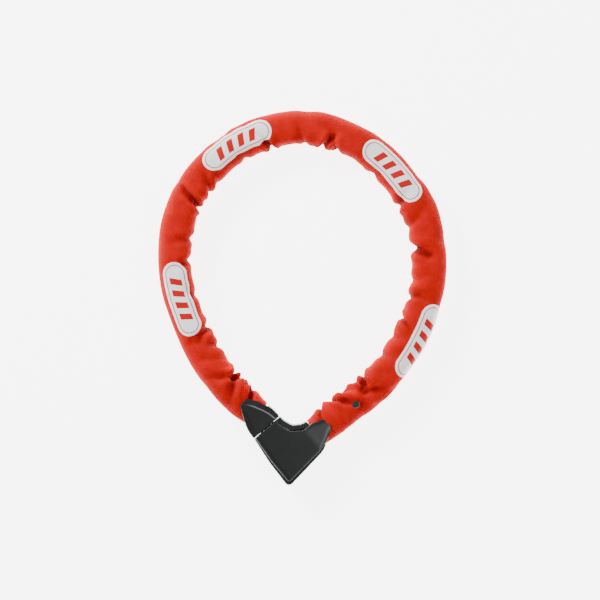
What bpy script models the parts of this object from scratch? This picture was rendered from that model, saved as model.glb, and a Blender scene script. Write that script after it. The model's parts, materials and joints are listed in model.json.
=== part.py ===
"""Chain lock: a closed loop of square-bar links in a woven sleeve, with an elbow-shaped lock body.

The loop lies flat on z = 0, +Z is up, and the origin is under the middle of its outline. The elbow of the
lock points to -Y. One chain end is held for good on a pin in the lock's fixed arm. The other end carries the
plug, whose locking pin stands in the lock body. A key turns the rotor, and its cam slides the bolt into the
neck of the locking pin.
"""
import math

import bmesh
import bpy
from mathutils import Matrix, Vector

MM = 0.001
GAP = 0.3 * MM

# The loop is this tall everywhere, and every part is centred on its middle plane.
HALF_HEIGHT = 15.0 * MM

# The lock's own frame: origin at the elbow on the middle plane, +X along the fixed arm, +Y along the plug's.
ELBOW = Vector((-13.8 * MM, -185.7 * MM, HALF_HEIGHT))
LOCK_TURN = math.radians(41.0)

# Chain: bevelled square bar bent into links with half-round ends. Odd links lie flat, even ones stand up.
LINK_COUNT = 25
BAR = 7.5 * MM
BAR_CHAMFER = 1.5 * MM
LINK_INNER_WIDTH = 10.8 * MM
BOW_RADIUS = LINK_INNER_WIDTH / 2 + BAR / 2
BOW_STEPS = 6

# Sleeve: one stiff tube piece on each flat link, open for a little at the middle of each standing link.
SLEEVE_WIDTH = 33.0 * MM
SLEEVE_WALL = 1.2 * MM
SLEEVE_CORNER = 8.0 * MM
SLEEVE_OPENING = 4.5 * MM
SLEEVE_END_REACH = 19.5 * MM

# Lock, in its own frame.
FIXED_PIN = (57.0 * MM, 19.7 * MM)
PLUG_PIN = (21.4 * MM, 75.0 * MM)
KEY_X = 21.0 * MM
BAND_TOP = 11.6 * MM
CAVITY_TOP = 9.9 * MM
ROOF_CAVITY_TOP = 12.4 * MM
SIDE_WALL = 2.2 * MM
ROOF_INSET = 5.2 * MM
HOLLOW_CORNER_RADIUS = 0.8
FIXED_MOUTH_X = 54.0 * MM
PLUG_MOUTH_Y = 71.5 * MM
PANEL_BEVEL = 1.6 * MM
CASE_TOP = 9.6 * MM
EAR_LOW = BAR / 2 + 0.4 * MM
EAR_TOP = 8.2 * MM
EAR_HALF_WIDTH = 7.0 * MM
ANCHOR_RADIUS = 3.7 * MM

# Outlines are corners in millimetres with the radius that rounds each one.
BODY_CORNERS = [
    (-2.0, -3.0, 4.5),
    (47.5, 1.6, 14.0),
    (58.0, 6.4, 14.0),
    (73.3, 15.4, 3.0),
    (64.8, 29.4, 8.0),
    (57.5, 34.2, 5.0),
    (48.7, 36.3, 1.5),
    (41.4, 41.1, 8.0),
    (38.0, 51.0, 6.0),
    (37.9, 55.6, 0.0),
    (3.7, 55.6, 0.0),
    (-0.2, 28.0, 40.0),
]
BODY_PANEL_CORNERS = [
    (1.4, 0.4, 3.5),
    (47.5, 4.9, 14.0),
    (57.0, 8.8, 14.0),
    (70.6, 17.0, 2.5),
    (61.5, 28.2, 8.0),
    (48.0, 31.4, 8.0),
    (36.8, 38.5, 8.0),
    (33.4, 49.0, 8.0),
    (33.2, 55.6, 0.0),
    (5.6, 55.6, 0.0),
    (3.1, 28.0, 40.0),
]
PLUG_CORNERS = [
    (3.7, 57.4, 0.0),
    (37.9, 57.4, 0.0),
    (37.0, 69.5, 15.0),
    (33.6, 77.6, 8.0),
    (25.6, 91.0, 3.0),
    (16.0, 91.0, 3.0),
    (12.0, 82.5, 8.0),
    (6.8, 73.5, 12.0),
    (4.3, 65.5, 15.0),
]
PLUG_PANEL_CORNERS = [
    (5.6, 57.4, 0.0),
    (33.2, 57.4, 0.0),
    (31.2, 71.5, 20.0),
    (20.6, 89.0, 2.0),
    (16.6, 88.8, 2.0),
    (9.4, 72.0, 20.0),
]
CASE_CORNERS = [
    (4.5, 5.8, 2.0),
    (43.6, 7.4, 1.0),
    (43.6, 31.4, 1.0),
    (37.8, 36.0, 1.0),
    (37.8, 44.2, 1.0),
    (35.2, 50.0, 1.0),
    (35.2, 53.3, 0.5),
    (7.2, 53.3, 0.5),
    (4.5, 30.0, 4.0),
]

# Key cylinder, cam and bolt.
HOUSING_RADIUS = 7.8 * MM
HOUSING_Y = (5.9 * MM, 26.8 * MM)
ROTOR_RADIUS = 5.6 * MM
ROTOR_Y = (6.2 * MM, 26.6 * MM)
KEYWAY = (2.4 * MM, 7.6 * MM)
KEYWAY_DEPTH = 14.0 * MM
CAM_RADIUS = 5.0 * MM
CAM_Y = (27.0 * MM, 29.4 * MM)
CAM_THROW = 1.98 * MM
CAM_PIN_RADIUS = 1.4 * MM
CAM_PIN_END_Y = 32.2 * MM
BOLT_HALF_HEIGHT = 4.5 * MM
BOLT_SLOT_HALF = 1.65 * MM
BOLT_CORNERS = [
    (16.5, 30.0, 0.6),
    (36.8, 30.0, 0.6),
    (36.8, 43.8, 0.6),
    (27.7, 43.8, 0.6),
    (27.7, 39.2, 0.6),
    (32.6, 39.2, 0.6),
    (32.6, 32.4, 0.6),
    (16.5, 32.4, 0.6),
]
BOLT_SPACE_CORNERS = [
    (13.2, 29.7, 0.4),
    (39.0, 29.7, 0.4),
    (39.0, 44.1, 0.4),
    (21.0, 44.1, 0.4),
    (21.0, 38.9, 0.4),
    (29.4, 38.9, 0.4),
    (29.4, 32.7, 0.4),
    (13.2, 32.7, 0.4),
]

# Locking pin: a turned profile as (distance along +Y, radius) in millimetres, from its stud to its tip.
LOCKING_PIN_PROFILE = [
    (61.3, 0.0),
    (61.3, 3.9),
    (57.4, 3.9),
    (57.4, 6.0),
    (44.9, 6.0),
    (44.2, 3.6),
    (38.8, 3.6),
    (38.1, 6.0),
    (34.8, 6.0),
    (33.2, 4.2),
    (33.2, 0.0),
]
PIN_BORE_RADIUS = 6.5 * MM
SEAL_RADII = (6.4 * MM, 8.6 * MM)
SEAL_Y = (55.9 * MM, 57.1 * MM)

# Keyhole bezel and its sliding shutter, in the flank under the fixed arm.
BEZEL_X = (13.0 * MM, 37.0 * MM)
BEZEL_Y = (0.9 * MM, 5.3 * MM)
BEZEL_HALF_HEIGHT = 6.8 * MM
SHUTTER_POCKET_X = (14.6 * MM, 35.8 * MM)
SHUTTER_POCKET_DEPTH = 2.0 * MM
SHUTTER_X = (15.0 * MM, 26.0 * MM)
SHUTTER_Y = (1.3 * MM, 2.5 * MM)
SHUTTER_HALF_HEIGHT = 5.0 * MM

# Screws that hold the rear cover to the case.
SCREW_PLACES = [(7.6, 12.0), (37.0, 13.0), (11.0, 48.0)]
SCREW_HEAD = (2.9 * MM, 1.5 * MM)
SCREW_SHANK = (1.4 * MM, 7.2 * MM)

# Rivet that closes the sleeve over the first standing link.
RIVET_PLACE = (103.0 * MM, 15.6 * MM)
RIVET_RADIUS = 3.7 * MM
RIVET_HEIGHT = 1.3 * MM

# Colour, roughness and metallic value of each material.
FINISHES = {
    "link_steel": ((0.52, 0.51, 0.48), 0.35, 1.0),
    "sleeve_fabric": ((0.76, 0.033, 0.018), 0.9, 0.0),
    "cover_plastic": ((0.030, 0.032, 0.034), 0.42, 0.0),
    "plug_plastic": ((0.032, 0.034, 0.036), 0.42, 0.0),
    "case_steel": ((0.45, 0.45, 0.46), 0.4, 1.0),
    "pin_steel": ((0.62, 0.62, 0.63), 0.22, 1.0),
    "cylinder_brass": ((0.70, 0.52, 0.25), 0.3, 1.0),
    "rotor_steel": ((0.55, 0.55, 0.56), 0.3, 1.0),
    "bezel_plastic": ((0.018, 0.019, 0.020), 0.35, 0.0),
    "seal_rubber": ((0.015, 0.015, 0.015), 0.8, 0.0),
    "screw_steel": ((0.20, 0.20, 0.21), 0.4, 1.0),
    "rivet_metal": ((0.05, 0.055, 0.052), 0.25, 1.0),
}


def clear_scene():
    """Removes every object of the open file."""
    for obj in list(bpy.data.objects):
        bpy.data.objects.remove(obj, do_unlink=True)


def new_collection(name):
    """A collection under the scene's own."""
    collection = bpy.data.collections.new(name)
    bpy.context.scene.collection.children.link(collection)
    return collection


def make_material(name):
    """A Principled material from FINISHES."""
    colour, roughness, metallic = FINISHES[name]
    material = bpy.data.materials.new(name)
    material.use_nodes = True
    shader = material.node_tree.nodes["Principled BSDF"]
    shader.inputs["Base Color"].default_value = (*colour, 1.0)
    shader.inputs["Roughness"].default_value = roughness
    shader.inputs["Metallic"].default_value = metallic
    material.diffuse_color = (*colour, 1.0)
    return material


def place(obj, finish, parent=None):
    """Puts an object in the parts collection with its own copy of a finish."""
    obj.data.materials.clear()
    material = make_material(finish)
    material.name = obj.name + "_" + finish
    obj.data.materials.append(material)
    for collection in list(obj.users_collection):
        collection.objects.unlink(obj)
    PARTS.objects.link(obj)
    if parent:
        obj.parent = parent
    return obj


def as_cutter(obj, parent=None):
    """Hides an object in the cutters collection."""
    for collection in list(obj.users_collection):
        collection.objects.unlink(obj)
    CUTTERS.objects.link(obj)
    obj.hide_render = True
    obj.display_type = "WIRE"
    if parent:
        obj.parent = parent
    return obj


def boolean(obj, other, operation):
    """Adds an exact Boolean modifier."""
    modifier = obj.modifiers.new(operation.title() + " " + other.name, "BOOLEAN")
    modifier.operation = operation
    modifier.solver = "EXACT"
    modifier.object = other
    return obj


def cut(obj, cutter, parent=None):
    """Cuts a hidden cutter out of an object."""
    return boolean(obj, as_cutter(cutter, parent), "DIFFERENCE")


def add_bevel(obj, width, segments=1, angle=35.0):
    """Bevels an object's sharp edges."""
    modifier = obj.modifiers.new("Bevel", "BEVEL")
    modifier.width = width
    modifier.segments = segments
    modifier.limit_method = "ANGLE"
    modifier.angle_limit = math.radians(angle)
    return obj


def rounded(corners, steps=4):
    """Outline points in metres, in counter-clockwise order, with each corner turned into an arc."""
    points = []
    count = len(corners)
    for index, (x, y, radius) in enumerate(corners):
        corner = Vector((x, y)) * MM
        if radius == 0.0:
            points.append(corner)
            continue
        before = (Vector(corners[index - 1][:2]) * MM - corner).normalized()
        after = (Vector(corners[(index + 1) % count][:2]) * MM - corner).normalized()
        half_angle = before.angle(after) / 2
        reach = radius * MM / math.tan(half_angle)
        start = corner + before * reach
        end = corner + after * reach
        arc_steps = max(1, round(steps * (math.pi - 2 * half_angle) / (math.pi / 2)))
        if arc_steps == 1:
            points += [start, end]
            continue
        centre = corner + (before + after).normalized() * (radius * MM / math.sin(half_angle))
        for step in range(arc_steps + 1):
            share = step / arc_steps
            arm = (start - centre).normalized().slerp((end - centre).normalized(), share)
            points.append(centre + arm * radius * MM)
    return points


def inset(corners, distance):
    """Outline corners moved inwards by a distance in metres, with small radii."""
    points = [Vector(corner[:2]) for corner in corners]
    moved = []
    for index, point in enumerate(points):
        before = (point - points[index - 1]).normalized()
        after = (points[(index + 1) % len(points)] - point).normalized()
        inward_before = Vector((-before.y, before.x))
        inward_after = Vector((-after.y, after.x))
        middle = (inward_before + inward_after).normalized()
        corner = point + middle * (distance / MM / middle.dot(inward_before))
        moved.append((corner.x, corner.y, HOLLOW_CORNER_RADIUS))
    return moved


def evaluated_mesh(obj):
    """An object's mesh with its modifiers or bevel applied, welded and facing outwards."""
    bpy.context.view_layer.update()
    depsgraph = bpy.context.evaluated_depsgraph_get()
    mesh = bpy.data.meshes.new_from_object(obj.evaluated_get(depsgraph))
    data = bmesh.new()
    data.from_mesh(mesh)
    bmesh.ops.remove_doubles(data, verts=data.verts, dist=0.00001)
    bmesh.ops.recalc_face_normals(data, faces=data.faces)
    data.to_mesh(mesh)
    data.free()
    return mesh


def curve_to_mesh(curve_object):
    """Swaps a curve object for a mesh object of the same name and place, with its caps welded."""
    mesh = evaluated_mesh(curve_object)
    name = curve_object.name
    matrix = curve_object.matrix_world.copy()
    curve = curve_object.data
    bpy.data.objects.remove(curve_object, do_unlink=True)
    bpy.data.curves.remove(curve)
    obj = bpy.data.objects.new(name, mesh)
    obj.matrix_world = matrix
    bpy.context.scene.collection.objects.link(obj)
    return obj


def curve_object(name, points, dimensions, closed):
    """A curve of one straight-sided spline."""
    curve = bpy.data.curves.new(name, "CURVE")
    curve.dimensions = dimensions
    spline = curve.splines.new("POLY")
    spline.points.add(len(points) - 1)
    for spline_point, point in zip(spline.points, points):
        spline_point.co = (point[0], point[1], point[2] if len(point) > 2 else 0.0, 1.0)
    spline.use_cyclic_u = closed
    obj = bpy.data.objects.new(name, curve)
    bpy.context.scene.collection.objects.link(obj)
    return obj


def outline_solid(name, points, low, high):
    """A flat outline given thickness from z = low to z = high."""
    obj = curve_object(name, points, "2D", True)
    obj.data.fill_mode = "BOTH"
    obj.data.extrude = (high - low) / 2
    solid = curve_to_mesh(obj)
    data = bmesh.new()
    data.from_mesh(solid.data)
    flat_caps = [face for face in data.faces if abs(face.normal.z) > 0.9]
    inner_edges = [edge for face in flat_caps for edge in face.edges if all(f in flat_caps for f in edge.link_faces)]
    bmesh.ops.dissolve_edges(data, edges=list(set(inner_edges)), use_verts=False)
    bmesh.ops.translate(data, verts=data.verts, vec=(0.0, 0.0, (low + high) / 2))
    data.to_mesh(solid.data)
    data.free()
    return solid


def swept(name, path, section, closed):
    """A section outline carried along a path that stays level, as a mesh with open ends."""
    profile = curve_object(name + "_section", section, "2D", True)
    rail = curve_object(name, path, "3D", closed)
    rail.data.bevel_mode = "OBJECT"
    rail.data.bevel_object = profile
    rail.data.twist_mode = "Z_UP"
    rail.data.use_fill_caps = False
    solid = curve_to_mesh(rail)
    bpy.data.objects.remove(profile, do_unlink=True)
    return solid


def turned(name, profile, steps=28):
    """A solid of revolution about +Y from (distance along +Y, radius) pairs in millimetres."""
    mesh = bpy.data.meshes.new(name)
    obj = bpy.data.objects.new(name, mesh)
    bpy.context.scene.collection.objects.link(obj)
    data = bmesh.new()
    corners = [data.verts.new((radius * MM, along * MM, 0.0)) for along, radius in profile]
    for first, second in zip(corners, corners[1:]):
        data.edges.new((first, second))
    data.to_mesh(mesh)
    data.free()
    screw = obj.modifiers.new("Turn", "SCREW")
    screw.axis = "Y"
    screw.steps = steps
    screw.render_steps = steps
    screw.use_merge_vertices = True
    screw.merge_threshold = 0.00001
    solid = evaluated_mesh(obj)
    obj.modifiers.clear()
    obj.data = solid
    bpy.data.meshes.remove(mesh)
    return obj


def box(name, x_range, y_range, z_range):
    """A box between three pairs of limits."""
    mesh = bpy.data.meshes.new(name)
    obj = bpy.data.objects.new(name, mesh)
    bpy.context.scene.collection.objects.link(obj)
    limits = (x_range, y_range, z_range)
    size = [high - low for low, high in limits]
    middle = [(high + low) / 2 for low, high in limits]
    data = bmesh.new()
    bmesh.ops.create_cube(data, size=1.0, matrix=Matrix.Translation(middle) @ Matrix.Diagonal((*size, 1.0)))
    data.to_mesh(mesh)
    data.free()
    return obj


def cylinder(name, radius, centre, axis, length, sides=28):
    """A cylinder that starts at centre and runs along "Y" or "Z"."""
    mesh = bpy.data.meshes.new(name)
    obj = bpy.data.objects.new(name, mesh)
    bpy.context.scene.collection.objects.link(obj)
    turn = Matrix.Rotation(-math.pi / 2, 4, "X") if axis == "Y" else Matrix.Identity(4)
    place_matrix = Matrix.Translation(centre) @ turn @ Matrix.Translation((0.0, 0.0, length / 2))
    data = bmesh.new()
    bmesh.ops.create_cone(
        data,
        cap_ends=True,
        segments=sides,
        radius1=radius,
        radius2=radius,
        depth=length,
        matrix=place_matrix,
    )
    data.to_mesh(mesh)
    data.free()
    return obj


def lock_point(x, y):
    """A point of the lock's own frame, in millimetres, in the loop's frame in metres."""
    turned_point = Matrix.Rotation(LOCK_TURN, 3, "Z") @ Vector((x * MM, y * MM, 0.0))
    return ELBOW + turned_point


def loop_points():
    """The loop's middle line from the fixed arm's pin round to the plug's pin."""
    fixed = [lock_point(FIXED_PIN[0] / MM, FIXED_PIN[1] / MM), lock_point(80.0, 19.0), lock_point(101.0, 17.6)]
    plug = [lock_point(17.4, 124.0), lock_point(18.2, 98.0), lock_point(PLUG_PIN[0] / MM, PLUG_PIN[1] / MM)]
    free = [
        (71.2, -90.5),
        (95.2, -61.5),
        (112.7, -31.0),
        (124.2, 2.5),
        (127.7, 35.5),
        (123.7, 69.5),
        (110.2, 101.0),
        (63.7, 150.5),
        (-2.3, 170.8),
        (-68.3, 150.5),
        (-114.8, 100.5),
        (-126.8, 59.5),
        (-127.3, 24.5),
        (-118.8, -10.5),
        (-101.3, -50.5),
    ]
    middle = [Vector((x * MM, y * MM, HALF_HEIGHT)) for x, y in free]
    return fixed + middle + plug


def smooth_path(points, spacing):
    """A centripetal Catmull-Rom curve through the points, as points about one spacing apart."""
    first = points[0] * 2 - points[1]
    last = points[-1] * 2 - points[-2]
    guide = [first] + points + [last]
    path = []
    for index in range(1, len(guide) - 2):
        four = guide[index - 1 : index + 3]
        knots = [0.0]
        for one, two in zip(four, four[1:]):
            knots.append(knots[-1] + math.sqrt((two - one).length))
        steps = max(2, round((four[2] - four[1]).length / spacing))
        for step in range(steps):
            at = knots[1] + (knots[2] - knots[1]) * step / steps
            level = four
            for width in (1, 2, 3):
                level = [
                    level[i] * ((knots[i + width] - at) / (knots[i + width] - knots[i]))
                    + level[i + 1] * ((at - knots[i]) / (knots[i + width] - knots[i]))
                    for i in range(len(level) - 1)
                ]
            path.append(level[0])
    path.append(points[-1])
    return path


def next_pivot(path, start, centre, chord):
    """The place on the path, as (index, point), at a straight distance of chord from centre."""
    index = start
    while index < len(path) - 1 and (path[index] - centre).length < chord:
        index += 1
    far = path[index]
    near = path[index - 1]
    far_distance = (far - centre).length
    near_distance = (near - centre).length
    share = (chord - near_distance) / (far_distance - near_distance)
    return index, near.lerp(far, share)


def walk_chain(path, inner_length):
    """The pivots between neighbouring links, from the fixed arm's pin to the plug's."""
    pivots = [path[0]]
    index = 1
    for number in range(LINK_COUNT):
        lies_flat = number % 2 == 0
        chord = inner_length - LINK_INNER_WIDTH if lies_flat else inner_length + BAR
        index, point = next_pivot(path, index, pivots[-1], chord)
        pivots.append(point)
    return pivots


def fitted_chain():
    """The links' inner length that closes the loop on the plug's pin, and the pivots it gives."""
    points = loop_points()
    goal = points[-1]
    run_out = goal + (goal - points[-2]).normalized() * 60.0 * MM
    path = smooth_path(points, 0.5 * MM) + [run_out]
    short = 25.0 * MM
    long = 36.0 * MM
    for _ in range(40):
        inner_length = (short + long) / 2
        pivots = walk_chain(path, inner_length)
        passed = (pivots[-1] - goal).dot(run_out - goal) > 0.0
        if passed:
            long = inner_length
        else:
            short = inner_length
    return inner_length, pivots


def link_mesh(inner_length):
    """One link lying flat along X, centred on the origin."""
    half_straight = inner_length / 2 - LINK_INNER_WIDTH / 2
    path = []
    for side, start in ((1, -90.0), (-1, 90.0)):
        for step in range(BOW_STEPS + 1):
            angle = math.radians(start + 180.0 * step / BOW_STEPS)
            path.append((side * half_straight + BOW_RADIUS * math.cos(angle), BOW_RADIUS * math.sin(angle)))
    half = BAR / 2
    flat = half - BAR_CHAMFER
    section = [
        (half, -flat),
        (half, flat),
        (flat, half),
        (-flat, half),
        (-half, flat),
        (-half, -flat),
        (-flat, -half),
        (flat, -half),
    ]
    return swept("link", path, section, True)


def make_links(inner_length, pivots):
    """The chain's links, each between its two pivots."""
    pattern = link_mesh(inner_length)
    for number in range(1, LINK_COUNT + 1):
        start = pivots[number - 1]
        end = pivots[number]
        heading = end - start
        link = bpy.data.objects.new(f"link_{number:02d}", pattern.data.copy())
        bpy.context.scene.collection.objects.link(link)
        link.location = (start + end) / 2
        stands = number % 2 == 0
        link.rotation_euler = (math.pi / 2 if stands else 0.0, 0.0, math.atan2(heading.y, heading.x))
        place(link, "link_steel")
    bpy.data.objects.remove(pattern, do_unlink=True)


def sleeve_section():
    """The sleeve's outer outline across the chain."""
    half_width = SLEEVE_WIDTH / MM / 2
    half_height = HALF_HEIGHT / MM
    radius = SLEEVE_CORNER / MM
    corners = [
        (half_width, -half_height, radius),
        (half_width, half_height, radius),
        (-half_width, half_height, radius),
        (-half_width, -half_height, radius),
    ]
    return rounded(corners, 2)


def make_sleeve(pivots):
    """The sleeve pieces, one round each flat link and half of each standing neighbour."""
    section = sleeve_section()
    for number in range(1, LINK_COUNT + 1, 2):
        start = pivots[number - 1]
        end = pivots[number]
        along = (end - start).normalized()
        if number == 1:
            path = [start + along * SLEEVE_END_REACH]
        else:
            middle = (pivots[number - 2] + start) / 2
            path = [middle + (start - middle).normalized() * (SLEEVE_OPENING / 2), start]
        if number == LINK_COUNT:
            path.append(end - along * SLEEVE_END_REACH)
        else:
            middle = (end + pivots[number + 1]) / 2
            path += [end, middle + (end - middle).normalized() * (SLEEVE_OPENING / 2)]
        tube = swept(f"sleeve_{(number + 1) // 2:02d}", path, section, False)
        wall = tube.modifiers.new("Wall", "SOLIDIFY")
        wall.thickness = SLEEVE_WALL
        wall.offset = -1.0
        place(tube, "sleeve_fabric")


def make_rivet():
    """The rivet on top of the sleeve, beside the fixed arm."""
    spot = lock_point(RIVET_PLACE[0] / MM, RIVET_PLACE[1] / MM)
    base = Vector((0.0, 0.0, HALF_HEIGHT * 2 + GAP))
    rivet = cylinder("sleeve_rivet", RIVET_RADIUS, base, "Z", RIVET_HEIGHT, 20)
    rivet.location = (spot.x, spot.y, 0.0)
    add_bevel(rivet, 0.5 * MM)
    place(rivet, "rivet_metal")


def cover_half(name, corners, panel_corners, windows, lock):
    """The upper half of a two-level plastic shell: a low band round a raised panel."""
    shell = outline_solid(name, rounded(corners), GAP / 2, BAND_TOP)
    add_bevel(shell, 0.8 * MM, 1, 60.0)
    panel = outline_solid(name + "_panel", rounded(panel_corners), BAND_TOP - 1.0 * MM, HALF_HEIGHT)
    add_bevel(panel, PANEL_BEVEL, 2, 60.0)
    boolean(shell, as_cutter(panel, lock), "UNION")
    hollow = rounded(inset(corners, SIDE_WALL), 1)
    cut(shell, outline_solid(name + "_hollow", hollow, -MM, CAVITY_TOP), lock)
    roof = rounded(inset(corners, ROOF_INSET), 1)
    cut(shell, outline_solid(name + "_roof_hollow", roof, -MM, ROOF_CAVITY_TOP), lock)
    for window in windows:
        cut(shell, window, lock)
    return shell


def flip_down(obj):
    """The mesh of the lower half that matches an upper half across the middle plane."""
    mesh = evaluated_mesh(obj)
    mesh.transform(Matrix.Diagonal((1.0, 1.0, -1.0, 1.0)))
    mesh.flip_normals()
    return mesh


def make_body_covers(lock):
    """The lock body's front and rear cover."""
    mouth = box("fixed_mouth", (FIXED_MOUTH_X, 90.0 * MM), (0.0, 45.0 * MM), (-MM, ROOF_CAVITY_TOP))
    socket = box("socket_window", (9.0 * MM, 33.0 * MM), (50.0 * MM, 60.0 * MM), (-MM, CAVITY_TOP - MM))
    key = box(
        "key_window",
        (BEZEL_X[0] - GAP, BEZEL_X[1] + GAP),
        (-6.0 * MM, 6.0 * MM),
        (-MM, BEZEL_HALF_HEIGHT + GAP),
    )
    front = cover_half("front_cover", BODY_CORNERS, BODY_PANEL_CORNERS, [mouth, socket, key], lock)
    place(front, "cover_plastic", lock)
    rear = bpy.data.objects.new("rear_cover", flip_down(front))
    bpy.context.scene.collection.objects.link(rear)
    for number, (x, y) in enumerate(SCREW_PLACES, 1):
        spot = Vector((x * MM, y * MM, -HALF_HEIGHT - MM))
        cut(rear, cylinder(f"head_hole_{number}", SCREW_HEAD[0] + GAP, spot, "Z", SCREW_HEAD[1] + 1.3 * MM, 16), lock)
        cut(rear, cylinder(f"shank_hole_{number}", SCREW_SHANK[0] + GAP, spot, "Z", 8.0 * MM, 16), lock)
    place(rear, "cover_plastic", lock)


def make_plug_covers(lock):
    """The plug's front and rear cover."""
    mouth = box("plug_mouth", (0.0, 45.0 * MM), (PLUG_MOUTH_Y, 110.0 * MM), (-MM, ROOF_CAVITY_TOP))
    base = box("plug_window", (9.0 * MM, 33.0 * MM), (54.0 * MM, 62.0 * MM), (-MM, CAVITY_TOP - MM))
    front = cover_half("plug_front_cover", PLUG_CORNERS, PLUG_PANEL_CORNERS, [mouth, base], lock)
    place(front, "plug_plastic", lock)
    rear = bpy.data.objects.new("plug_rear_cover", flip_down(front))
    bpy.context.scene.collection.objects.link(rear)
    place(rear, "plug_plastic", lock)


def ear_outline(pin, base, along_x):
    """A clevis ear from a flat base round a pin, as an outline in metres."""
    points = []
    for step in range(9):
        angle = math.radians(-90.0 + 180.0 * step / 8)
        reach = EAR_HALF_WIDTH * math.cos(angle)
        side = EAR_HALF_WIDTH * math.sin(angle)
        points.append((reach, side))
    back = (pin[0] if along_x else pin[1]) - base
    points += [(-back, EAR_HALF_WIDTH), (-back, -EAR_HALF_WIDTH)]
    if along_x:
        return [Vector((pin[0] + reach, pin[1] + side)) for reach, side in points]
    return [Vector((pin[0] - side, pin[1] + reach)) for reach, side in points]


def make_case(lock):
    """The hardened case: bores for cylinder and locking pin, space for the bolt, and the fixed arm's ears."""
    case = outline_solid("lock_case", rounded(CASE_CORNERS, 2), -CASE_TOP, CASE_TOP)
    ears = outline_solid("case_ears", ear_outline(FIXED_PIN, 40.0 * MM, True), -EAR_TOP, EAR_TOP)
    boolean(case, as_cutter(ears, lock), "UNION")
    slot = box("ear_slot", (43.7 * MM, 70.0 * MM), (0.0, 40.0 * MM), (-EAR_LOW, EAR_LOW))
    cut(case, slot, lock)
    cylinder_space = cylinder(
        "cylinder_space", HOUSING_RADIUS + GAP, Vector((KEY_X, 0.0, 0.0)), "Y", 29.8 * MM
    )
    cut(case, cylinder_space, lock)
    pin_bore = cylinder("pin_bore", PIN_BORE_RADIUS, Vector((KEY_X, 32.6 * MM, 0.0)), "Y", 30.0 * MM)
    cut(case, pin_bore, lock)
    bolt_half = BOLT_HALF_HEIGHT + GAP
    cut(case, outline_solid("bolt_space", rounded(BOLT_SPACE_CORNERS, 1), -bolt_half, bolt_half), lock)
    pin_hole = cylinder(
        "anchor_hole", ANCHOR_RADIUS + GAP, Vector((*FIXED_PIN, -EAR_TOP - MM)), "Z", 2 * EAR_TOP + 2 * MM, 20
    )
    cut(case, pin_hole, lock)
    for number, (x, y) in enumerate(SCREW_PLACES, 1):
        spot = Vector((x * MM, y * MM, -CASE_TOP - MM))
        cut(case, cylinder(f"case_hole_{number}", SCREW_SHANK[0] + GAP, spot, "Z", 5.0 * MM, 16), lock)
    place(case, "case_steel", lock)


def make_anchor_pin(name, pin, lock):
    """The upright pin that an end link turns on."""
    base = Vector((*pin, -EAR_TOP))
    anchor = cylinder(name, ANCHOR_RADIUS, base, "Z", 2 * EAR_TOP, 20)
    add_bevel(anchor, 0.5 * MM)
    place(anchor, "pin_steel", lock)


def make_screws(lock):
    """The rear cover's screws, each a head and a shank in one turned solid."""
    head_radius, head_height = SCREW_HEAD
    shank_radius, shank_length = SCREW_SHANK
    for number, (x, y) in enumerate(SCREW_PLACES, 1):
        profile = [
            ((head_height + shank_length) / MM, 0.0),
            ((head_height + shank_length) / MM, shank_radius / MM),
            (head_height / MM, shank_radius / MM),
            (head_height / MM, head_radius / MM),
            (0.0, head_radius / MM),
            (0.0, 0.0),
        ]
        screw = turned(f"cover_screw_{number}", profile, 16)
        screw.rotation_euler = (math.pi / 2, 0.0, 0.0)
        screw.location = (x * MM, y * MM, -HALF_HEIGHT + 0.1 * MM)
        place(screw, "screw_steel", lock)


def make_cylinder(lock):
    """The brass housing, and the rotor with its keyway."""
    centre = Vector((KEY_X, HOUSING_Y[0], 0.0))
    housing = cylinder("cylinder_housing", HOUSING_RADIUS, centre, "Y", HOUSING_Y[1] - HOUSING_Y[0])
    bore = cylinder("housing_bore", ROTOR_RADIUS + GAP, Vector((KEY_X, 0.0, 0.0)), "Y", 40.0 * MM)
    cut(housing, bore, lock)
    place(housing, "cylinder_brass", lock)
    rotor = cylinder(
        "cylinder_rotor", ROTOR_RADIUS, Vector((0.0, ROTOR_Y[0], 0.0)), "Y", ROTOR_Y[1] - ROTOR_Y[0]
    )
    rotor.location = (KEY_X, 0.0, 0.0)
    half_wide = KEYWAY[0] / 2
    half_tall = KEYWAY[1] / 2
    keyway = box(
        "keyway",
        (KEY_X - half_wide, KEY_X + half_wide),
        (0.0, ROTOR_Y[0] + KEYWAY_DEPTH),
        (-half_tall, half_tall),
    )
    cut(rotor, keyway, lock)
    place(rotor, "rotor_steel", lock)


def make_cam(lock):
    """The disc behind the rotor, with the pin that drives the bolt."""
    cam = cylinder("bolt_cam", CAM_RADIUS, Vector((0.0, CAM_Y[0], 0.0)), "Y", CAM_Y[1] - CAM_Y[0])
    cam.location = (KEY_X, 0.0, 0.0)
    offset = CAM_THROW / math.sqrt(2.0)
    foot = Vector((KEY_X + offset, CAM_Y[1] - 1.0 * MM, offset))
    pin = cylinder("cam_pin", CAM_PIN_RADIUS, foot, "Y", CAM_PIN_END_Y - CAM_Y[1] + 1.0 * MM, 16)
    boolean(cam, as_cutter(pin, lock), "UNION")
    place(cam, "rotor_steel", lock)


def make_bolt(lock):
    """The sliding bolt, drawn back, with the slot that the cam's pin runs in."""
    bolt = outline_solid("locking_bolt", rounded(BOLT_CORNERS, 1), -BOLT_HALF_HEIGHT, BOLT_HALF_HEIGHT)
    slot_x = KEY_X + CAM_THROW / math.sqrt(2.0)
    slot = box(
        "bolt_slot",
        (slot_x - BOLT_SLOT_HALF, slot_x + BOLT_SLOT_HALF),
        (29.0 * MM, 33.0 * MM),
        (-0.6 * MM, 4.0 * MM),
    )
    cut(bolt, slot, lock)
    place(bolt, "pin_steel", lock)


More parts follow.
